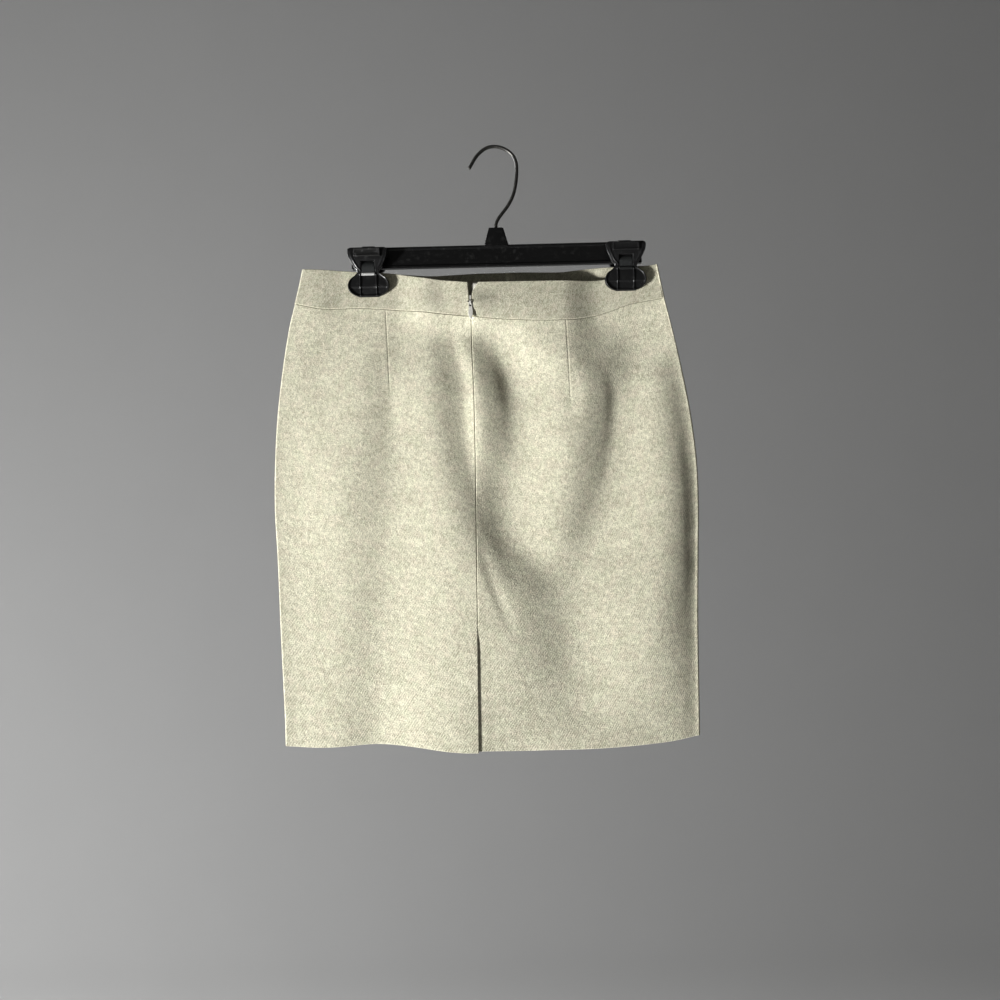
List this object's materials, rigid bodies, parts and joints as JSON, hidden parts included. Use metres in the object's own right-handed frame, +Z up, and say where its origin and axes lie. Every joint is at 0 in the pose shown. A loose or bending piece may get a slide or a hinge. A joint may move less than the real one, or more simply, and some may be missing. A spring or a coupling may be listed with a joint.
{
  "type": "pencil skirt on a clip hanger",
  "caption": "Straight wool skirt with a wide waistband, back zip, darts and hem vent, held by the waist in a clip hanger with a wire hook.",
  "frame": {"origin": "inner top of the hanger's hook, where a wall hook or rail carries it, on the line of the hook's foot", "axes": "+Z up along the hang of the skirt, +X to the right of someone facing the skirt's back, -Y out of the skirt's back towards them"},
  "size_m": [0.433, 0.047, 0.6157],
  "materials": {
    "wool": "soft fulled wool twill in mixed cream and grey fibres",
    "zip_tape": "fine woven tape",
    "zip_metal": "dark metal, slightly worn",
    "pull_paint": "smooth light grey paint",
    "black_plastic": "moulded black, satin",
    "hook_wire": "dark coated wire",
    "spring_steel": "dark spring steel with bare cut edges"
  },
  "bodies": {
    "skirt": {"front_panel": "wool", "back_panel_left": "wool", "back_panel_right": "wool", "waistband_front": "wool", "waistband_back_left": "wool", "waistband_back_right": "wool", "zip_tape_left": "zip_tape", "zip_tape_right": "zip_tape", "zip_slider": "zip_metal", "hanger_bar": "black_plastic", "hanger_hook": "hook_wire", "clip_left_front_jaw": "black_plastic", "clip_left_rear_jaw": "black_plastic", "clip_left_spring": "spring_steel", "clip_right_front_jaw": "black_plastic", "clip_right_rear_jaw": "black_plastic", "clip_right_spring": "spring_steel"},
    "zip_pull": {"zip_pull": "pull_paint"}
  },
  "joints": [
    {"name": "zip_pull_swing", "type": "hinge", "parent": "skirt", "child": "zip_pull", "pos_m": [-0.0276, -0.01534, -0.1614], "axis": [-1, 0, 0], "range_deg": [0, 165]}
  ]
}
